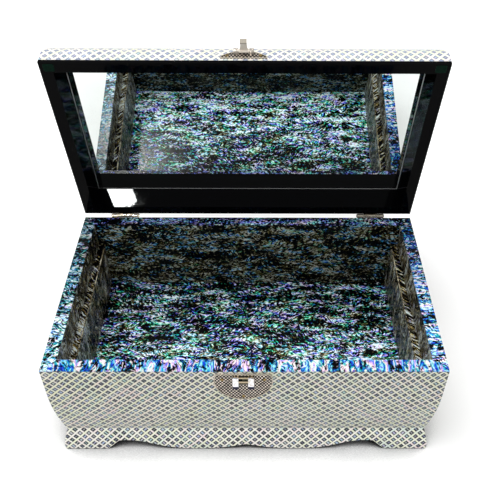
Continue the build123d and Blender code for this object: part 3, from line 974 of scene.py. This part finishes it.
@dataclass
class LedgeBead:
    """Slim rounded string of shell along the inner edge of a tray ledge."""

    name: str
    board: str
    inner_side: int
    width: float = 0.0012
    height: float = 0.0004
    rounded_share: float = 0.8

    def build(self) -> Piece:
        """Models the bead on the top of its board.

        Returns:
            The bead.
        """
        low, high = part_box(self.board)
        edge = high.x if self.inner_side > 0 else low.x
        x_low, x_high = sorted((edge, edge - self.inner_side * self.width))
        top = high.z + self.height
        bench = Bench(self.name)
        bench.block((x_low, low.y, high.z), (x_high, high.y, top))
        bench.choose_edges(lambda a, b: min(a.z, b.z) > top - TOUCH and abs(a.x - b.x) < TOUCH)
        bpy.ops.mesh.bevel(offset=self.height * self.rounded_share, segments=4)
        return bench.smooth(40)


@dataclass
class FeltBumper:
    """Small felt pad with rounded corners and a soft crown, glued under the lid's rim."""

    name: str
    outer: float
    front: float
    rim: float
    side: int
    width: float = 0.010
    depth: float = 0.008
    thickness: float = 0.0006
    corner: float = 0.0018
    crown_steps: Span = (0.0006, 0.0012)
    crown_rise: float = 0.00004
    edge_share: float = 0.3

    def build(self) -> Piece:
        """Models the pad with the lid shut, its crown towards the case.

        Returns:
            The pad.
        """
        x_low, x_high = sorted((self.outer, self.outer - self.side * self.width))
        low = self.rim - self.thickness
        bench = Bench(self.name)
        bench.block((x_low, self.front, low), (x_high, self.front + self.depth, self.rim))
        bench.choose_edges(lambda a, b: abs(a.x - b.x) < TOUCH and abs(a.y - b.y) < TOUCH)
        bpy.ops.mesh.bevel(offset=self.corner, segments=5)
        bench.done()
        bench.choose_faces(lambda face: face.normal.z < -0.9)
        for step in self.crown_steps:
            bpy.ops.mesh.inset(thickness=step)
            bpy.ops.transform.translate(value=(0.0, 0.0, self.crown_rise))
        bench.outward()
        # Only the outline still lies at the bottom; it goes up to give the pad a soft edge
        for corner in bench.piece.data.vertices:
            if corner.co.z < low + self.crown_rise / 2:
                corner.co.z += self.thickness * self.edge_share
        return bench.smooth(50)


# The case's bare board is stained near black, which also stands as painted shade in the catch's slot
BODY_LATTICE = LatticeFinish("F2F0E2", "101828", "DCE6E8", core=1.0, share=0.31, lean=0.3, board="0C0A08")
BASE_LATTICE = LatticeFinish(
    "FFFFFC", "040818", "ECF4FA", core=1.0, share=0.32, sheet_depth=0.0075, underside=True
)
LID_LATTICE = LatticeFinish("FFFEF8", "848EA6", "FAFCFF", core=0.9, share=0.38, sheet_depth=0.6)

RIM_HUES = hues(
    "0 0C1868 .12 1C44E8 .24 10B4D8 .34 B0FAF8 .42 3C60F0 .5 A890F0 .6 FAD4E8 .76 FAF6F2 .88 20D0CC 1 1438B8"
)
SIDE_RIM_HUES = hues("0 0C3868 .16 1CB8B0 .3 1C5CD8 .44 C0FAF4 .56 7C84E8 .68 E8D4D8 .8 1CA878 1 1438A8")
BACK_RIM_HUES = hues("0 0C1878 .2 088C90 .4 1C40E0 .6 6450C0 .8 B09490 1 28D0C8")
LINING_HUES = hues(
    "0 4C4010 .12 8C7838 .24 10A870 .36 30F0B8 .47 1038E8 "
    ".58 5C60F0 .68 D0A8D8 .78 F8F8F8 .88 18C0E0 1 4C4010"
)
WALL_HUES = hues("0 4C4818 .2 847C48 .32 1CA070 .42 1040E0 .52 20A8B8 .62 A8A090 .8 6C6028 1 4C4410")
BOARD_HUES = hues(
    "0 4C3C10 .25 907828 .42 C4B078 .52 3C7C4C .6 B8A8A0 .68 5C64A8 .76 6C5830 .88 74601C 1 403408"
)
BEAD_HUES = hues("0 4C4028 .5 8C8064 1 C0B8A0")

# The rim strips are one shell in lit and shaded copies, as painted light: the front rim is brightest,
# are painted brighter towards the front.
# the back rim is darkest as painted shade, the right rim is lighter than the left, and the side rims
FRONT_RIM_PAINTED_LIGHT = AbaloneFinish(
    RIM_HUES, Grain.Y, flake=1.5, stretch=3.0, row=9.0, turn=1.6, lines=3.0, lit=(0.05, 0.6)
)
SIDE_CUT = {"grain": Grain.X, "flake": 1.4, "stretch": 2.6, "row": 11.0, "turn": 1.8}
LEFT_RIM_PAINTED_LIGHT = AbaloneFinish(SIDE_RIM_HUES, **SIDE_CUT, lit=(0.45, 0.85), level=(0.5, 1.3), painted_light_lift=(-0.1, 0.15))
RIGHT_RIM_PAINTED_LIGHT = AbaloneFinish(RIM_HUES, **SIDE_CUT, lit=(0.1, 0.7), level=(0.5, 1.25), painted_light_lift=(-0.2, 0.08))
BACK_RIM_PAINTED_SHADE = AbaloneFinish(BACK_RIM_HUES, Grain.X, stretch=2.2, lit=(0.7, 1.3), glints=0.3)
# Painted light: the floor lining, the end linings and the tray boards are painted brighter towards the front
FLOOR_SHELL_PAINTED_LIGHT = AbaloneFinish(LINING_HUES, Grain.X, painted_light_lift=(-0.2, 0.2), level=(0.8, 1.6))
WALL_SHELL = AbaloneFinish(WALL_HUES, Grain.X, glints=0.35, lit=(0.6, 1.15))
END_SHELL_PAINTED_LIGHT = AbaloneFinish(
    BOARD_HUES, Grain.Z, turn=0.8, stretch=5.0, flake=1.2, lit=(0.6, 1.0), painted_light_lift=(-0.2, 0.2), glints=0.6
)
BEAD_SHELL = AbaloneFinish(BEAD_HUES, Grain.Y, lit=(0.0, 0.6), veins=0.2, glints=0.2)

PEWTER = PewterFinish()
BORDER = MetalFinish("C8C0B0", "8C8474", Grain.X, 0.3, 0.45)
BRASS = MetalFinish("8C7850", "5C4828", Grain.X, 0.35, 0.55)
# Navy metal of the blocks under the catch's posts, which are a painted shadow
POST_SHADOW_FINISH = MetalFinish("1C1C34", "0C0C18", Grain.X, 0.3, 0.45)
HINGE_NICKEL = MetalFinish("948E82", "3C362E", Grain.X, 0.12, 0.3)
HINGE_PIN_NICKEL = MetalFinish("7C766C", "3C362E", Grain.X, 0.12, 0.3)
HASP_PIN_NICKEL = MetalFinish("B0A48E", "6C604C", Grain.X, 0.3, 0.5)


@dataclass
class Assembly:
    """One sub-assembly of the chest."""

    nodes: dict[str, Piece]
    body: Body
    pose: Pose

    def paint(self, material: Material, *names: str) -> None:
        """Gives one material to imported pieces."""
        for name in names:
            dress(self.nodes[name], material)

    def paint_ring(self, prefix: str, lattice: LatticeFinish, pose: Pose | None = None) -> None:
        """Gives each board of a ring the lattice of its own side."""
        for side in RING:
            name = f"{prefix}_{side.value}"
            self.paint(lattice.material(f"{name}_lattice", self.body, side, pose), name)

    def build(self) -> list[Piece]:
        """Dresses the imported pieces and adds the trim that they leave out.

        Returns:
            The new pieces.
        """
        raise NotImplementedError


@dataclass
class CaseBody(Assembly):
    """The case: walls, rim, linings and tray boards.

    The offsets move the shell's pattern: each says where a row of pieces starts and the step to the next.
    """

    rim_offsets: Span = (11.0, 17.0)
    lining_offsets: Span = (5.0, 23.0)
    board_offsets: Span = (140.0, 31.0)
    bead_offsets: Span = (0.0, 7.0)

    def build(self) -> list[Piece]:
        """Dresses the case and adds the beads on its ledges."""
        self.paint_ring("case_wall", BODY_LATTICE)
        rims = {"front": FRONT_RIM_PAINTED_LIGHT, "right": RIGHT_RIM_PAINTED_LIGHT, "back": BACK_RIM_PAINTED_SHADE, "left": LEFT_RIM_PAINTED_LIGHT}
        for offset, (side, finish) in zip(count(*self.rim_offsets), rims.items()):
            self.paint(finish.material(f"rim_{side}_abalone", offset), f"rim_strip_{side}")
        linings = {"floor": FLOOR_SHELL_PAINTED_LIGHT, "front": WALL_SHELL, "back": WALL_SHELL}
        linings |= {"left": END_SHELL_PAINTED_LIGHT, "right": END_SHELL_PAINTED_LIGHT}
        for offset, (side, finish) in zip(count(*self.lining_offsets), linings.items()):
            self.paint(finish.material(f"lining_{side}_abalone", offset), f"lining_{side}")
        beads = []
        offsets = zip(count(*self.board_offsets), count(*self.bead_offsets))
        for side, (offset, bead_offset) in zip(("left", "right"), offsets):
            board = f"tray_board_{side}"
            self.paint(END_SHELL_PAINTED_LIGHT.material(f"{board}_abalone", offset), board)
            bead = LedgeBead(f"tray_bead_{side}", board, 1 if side == "left" else -1).build()
            dress(bead, BEAD_SHELL.material(f"tray_bead_{side}_shell", bead_offset))
            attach(bead, "case")
            beads.append(bead)
        self.paint(BoardFinish().material("floor_board_wood"), "floor_board")
        return beads


@dataclass
class Plinth(Assembly):
    """The scalloped plinth and the blocks in its corners."""

    def build(self) -> list[Piece]:
        """Dresses the aprons and the blocks; it adds no pieces."""
        self.paint_ring("plinth", BASE_LATTICE)
        self.paint(BoardFinish("6E543A", "3A2A1E", Grain.Z).material("glue_block_wood"), "glue_blocks")
        return []


@dataclass
class Catch(Assembly):
    """The plate, the slotted catch and their nails on the front wall."""

    centre: Span = (-0.0014, 0.1124)
    radius: float = 0.0264
    cut: float = 0.1228
    post_width: float = 0.0053
    shadow_height: float = 0.004
    shadow_rounding: float = 0.0004
    bar_step: float = 0.0018

    def build(self) -> list[Piece]:
        """Dresses the catch; adds its plate's border and dark blocks under its posts as painted shadow."""
        low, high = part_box("catch_bridge")
        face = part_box("catch_plate")[0].y
        # The catch's slot, where the plate is painted dark as painted shade
        slot = (low.x + self.post_width, high.x - self.post_width, low.z, high.z)
        # Behind the plate's face the bridge is painted tan: painted shade on its recessed bar
        bridge_with_shaded_bar = MetalFinish("F6F5FA", "B8A88C", Grain.X, 0.1, 0.25, recess=face - self.bar_step)
        self.paint(PEWTER.material("catch_plate_pewter", None, slot), "catch_plate")
        self.paint(bridge_with_shaded_bar.material("catch_bridge_nickel_shaded_bar"), "catch_bridge")
        self.paint(BRASS.material("catch_nail_brass"), "catch_nails")
        centre = (self.centre[0], face, self.centre[1])
        pieces = [PlateBorder("catch_plate_border", centre, self.radius, self.cut, False).build()]
        dress(pieces[0], BORDER.material("catch_border_pewter"))
        # Dark blocks under the posts: a painted shadow of the posts on the plate
        dark = POST_SHADOW_FINISH.material("catch_post_shadow_metal")
        for side, start in (("left", low.x), ("right", high.x - self.post_width)):
            bench = Bench(f"catch_post_shadow_{side}")
            bench.block((start, low.y, low.z - self.shadow_height), (start + self.post_width, high.y, low.z))
            bench.choose_edges(lambda a, b: max(a.y, b.y) < low.y + TOUCH and max(a.z, b.z) < low.z - TOUCH)
            bpy.ops.mesh.bevel(offset=self.shadow_rounding, segments=3)
            pieces.append(bench.done())
            dress(pieces[-1], dark)
        return [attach(piece, "case") for piece in pieces]


@dataclass
class Hinges(Assembly):
    """Two butt hinges on the back edge."""

    def build(self) -> list[Piece]:
        """Dresses the leaves, pins and screws; it adds no pieces."""
        leaves = [f"hinge_leaf_{owner}_{side}" for owner in ("case", "lid") for side in ("left", "right")]
        self.paint(HINGE_NICKEL.material("hinge_nickel"), *leaves)
        pins = ("hinge_pin_left", "hinge_pin_right", "hinge_screws_case", "hinge_screws_lid")
        self.paint(HINGE_PIN_NICKEL.material("hinge_pin_nickel"), *pins)
        return []


@dataclass
class Lid(Assembly):
    """The lid: lattice outside, black lacquer and a mirror inside, two felt bumpers."""

    pad_inset: float = 0.0035
    pad_front: float = 0.0020

    def build(self) -> list[Piece]:
        """Dresses the lid and adds its bumpers."""
        self.paint_ring("lid_rail", LID_LATTICE, self.pose)
        self.paint(LID_LATTICE.material("lid_panel_lattice", self.body, Side.TOP, self.pose), "lid_panel")
        mouldings = [f"lid_moulding_{side.value}" for side in RING]
        self.paint(LacquerFinish().material("lid_black_lacquer"), *mouldings)
        self.paint(MirrorFinish().material("mirror_silver", self.body, self.pose), "mirror_glass")
        self.paint(LacquerFinish("0C0B0B", "1A1816").material("mirror_backing_board"), "mirror_backing")
        felt = FeltFinish().material("bumper_felt")
        pads = []
        for name, side in (("left", -1), ("right", 1)):
            outer = side * (self.body.half_width - self.pad_inset)
            front = self.body.front + self.pad_front
            pad = FeltBumper(f"felt_bumper_{name}", outer, front, self.body.lid_rim, side).build()
            self.pose.open_mesh(pad)
            dress(pad, felt)
            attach(pad, "lid")
            pads.append(pad)
        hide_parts("felt_pads")
        return pads


@dataclass
class Hasp(Assembly):
    """The lid's plate with its lugs and pin, and the tab that swings on it."""

    centre: Span = (-0.0014, 0.10779)
    radius: float = 0.03381
    half_width: float = 0.0206
    cut: float = 0.1321
    plate: float = 0.001
    lip_reach: float = 0.0033

    def build(self) -> list[Piece]:
        """Dresses the hasp and adds the border of its plate."""
        lip_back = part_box("hasp_tab")[0].y + self.lip_reach
        # Painted light: the lip stays darker and the blade is painted paler, evening out their lighting
        tab = MetalFinish("A09A8E", "E6DED2", Grain.Z, 0.6, 0.75, recess=lip_back, metallic=0.3, age=0.0)
        self.paint(PEWTER.material("hasp_plate_pewter", self.pose), "hasp_plate")
        self.paint(HASP_PIN_NICKEL.material("hasp_pin_nickel"), "hasp_pin")
        self.paint(BRASS.material("hasp_nail_brass"), "hasp_nails")
        self.paint(tab.material("hasp_tab_nickel_painted_light"), "hasp_tab")
        centre = (self.centre[0], self.body.front - self.plate, self.centre[1])
        piece = PlateBorder("hasp_plate_border", centre, self.radius, self.cut, True, self.half_width).build()
        self.pose.open_mesh(piece)
        dress(piece, BORDER.material("hasp_border_pewter"))
        return [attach(piece, "lid")]


@dataclass(frozen=True)
class Lamp:
    """One rectangular lamp that points at the chest; a mirrored one shows only in polished surfaces."""

    name: str
    place: Spot
    size: Span
    power: float
    mirrored: bool = False
    aim: Spot = (0.0, 0.0, 0.12)

    def build(self) -> None:
        """Adds the lamp."""
        data = bpy.data.lights.new(self.name, "AREA")
        data.shape = "RECTANGLE"
        data.size, data.size_y = self.size
        data.energy = self.power
        lamp = bpy.data.objects.new(self.name, data)
        bpy.context.scene.collection.objects.link(lamp)
        lamp.location = self.place
        lamp.rotation_euler = (Vector(self.aim) - Vector(self.place)).to_track_quat("-Z", "Y").to_euler()
        lamp.visible_glossy = self.mirrored
        lamp.visible_diffuse = not self.mirrored


LAMPS = (
    Lamp("key", (-0.25, -0.45, 2.1), (1.6, 1.2), 34.0),
    Lamp("fill_left", (-1.9, -0.6, 0.9), (1.2, 1.2), 6.2),
    Lamp("fill_right", (1.9, -0.6, 0.9), (1.2, 1.2), 6.2),
    Lamp("flash", (-0.335, -0.488, 0.876), (0.062, 0.062), 8.0, mirrored=True),
)


@dataclass
class Studio:
    """Pale floor, white surroundings and soft lamps."""

    floor_half: float = 6.0
    ambient: float = 0.36
    glow: Span = (0.2, 0.6)
    glow_reach: Span = (0.24, 0.4)
    shadow_reach: float = 0.05

    def build(self) -> None:
        """Makes the floor, the world and the lamps."""
        self._floor()
        self._world()
        for lamp in LAMPS:
            lamp.build()

    def _floor(self) -> None:
        """A wide floor that shows white to the camera and keeps the shadow of the chest.

        Close to the chest a painted contact shadow darkens its colour and its glow, and the glow grows away
        from the chest.
        """
        bpy.ops.object.select_all(action="DESELECT")
        bpy.ops.mesh.primitive_plane_add(size=self.floor_half * 2, location=ORIGIN)
        floor = bpy.context.view_layer.objects.active
        floor.name = "studio_floor"
        g = Surface("studio_paper", Roughness=0.9, Specular_IOR_Level=0.0)
        # Painted contact shadow: occlusion near the chest darkens the floor's colour and weakens its glow
        contact_shadow = g.read("ShaderNodeAmbientOcclusion", {"Distance": self.shadow_reach}, "AO", samples=8)
        paper = g.mix(g.noise(g.here(), 60.0, 2.0, 0.5), "E9E9E9", "F0F0F0")
        g.feed("Base Color", g.mix(contact_shadow.remap(0.4, 0.66), "101218", paper))
        far = g.here().length().remap(*self.glow_reach, *self.glow)
        g.shader.inputs["Emission Color"].default_value = WHITE
        g.feed("Emission Strength", self._seen(g) * (far * contact_shadow.remap(0.35, 0.98)))
        dress(floor, g.material)

    @staticmethod
    def _seen(g: Graph) -> Value:
        """1 for what the camera, a mirror or glass sees, and 0 for what only lights."""
        path = g.add("ShaderNodeLightPath").outputs
        rays = [Value(g, path[f"Is {kind} Ray"]) for kind in ("Camera", "Glossy", "Transmission")]
        return rays[0].most(rays[1]).most(rays[2])

    def _world(self) -> None:
        """A white world for the camera and reflections, and a softer one as light."""
        world = bpy.data.worlds.new("studio_world")
        bpy.context.scene.world = world
        world.use_nodes = True
        world.node_tree.nodes.clear()
        g = Graph(world.node_tree)
        white = g.read("ShaderNodeBackground", {"Color": WHITE, "Strength": 1.0})
        soft = g.read("ShaderNodeBackground", {"Color": WHITE, "Strength": self.ambient})
        choice = g.read("ShaderNodeMixShader", {0: self._seen(g), 1: soft, 2: white})
        g.add("ShaderNodeOutputWorld", {"Surface": choice})


@dataclass
class PhotoCamera:
    """The camera of the photograph, placed from the chest's front face."""

    body: Body
    right: float = 0.012133
    before: float = 0.367402
    height: float = 0.613963
    yaw: float = 0.0107150
    pitch: float = 0.7093879
    roll: float = 0.0089124
    lens: float = 48.758
    sensor: float = 36.0
    shift: Span = (-0.028758, -0.054816)
    clip: Span = (0.01, 50.0)

    def build(self) -> None:
        """Makes the camera and gives it to the scene."""
        data = bpy.data.cameras.new("photo_camera")
        data.sensor_width = self.sensor
        data.lens = self.lens
        data.shift_x, data.shift_y = self.shift
        data.clip_start, data.clip_end = self.clip
        camera = bpy.data.objects.new("photo_camera", data)
        bpy.context.scene.collection.objects.link(camera)
        turn = Matrix.Rotation(-self.yaw, 4, "Z") @ Matrix.Rotation(math.pi / 2 - self.pitch, 4, "X")
        turn = turn @ Matrix.Rotation(self.roll, 4, "Z")
        place = Vector((self.right, self.body.front - self.before, self.height))
        camera.matrix_world = Matrix.Translation(place) @ turn
        bpy.context.scene.camera = camera


def main(frame: dict) -> None:
    """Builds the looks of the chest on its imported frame.

    Args:
        frame: the loaded bodies, nodes, joints and record.
    """
    logging.basicConfig(level=logging.INFO, format="%(name)s: %(message)s")
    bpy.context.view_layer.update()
    joints = {joint["name"]: joint for joint in frame["record"]["behaviour"]["joints"]}
    lid_hinge = joints["lid_hinge"]
    pose = Pose(tuple(lid_hinge["pos_m"]), math.radians(-lid_hinge["range_deg"][0]))
    body = Body.measured()
    PhotoCamera(body).build()
    Studio().build()
    for kind in (CaseBody, Plinth, Catch, Hinges, Lid, Hasp):
        made = [piece.name for piece in kind(frame["nodes"], body, pose).build()]
        LOG.info("%s built, new pieces: %s", kind.__name__, ", ".join(made) or "none")
    bpy.context.scene.view_settings.view_transform = "Standard"


if __name__ == "__main__":
    main(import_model())
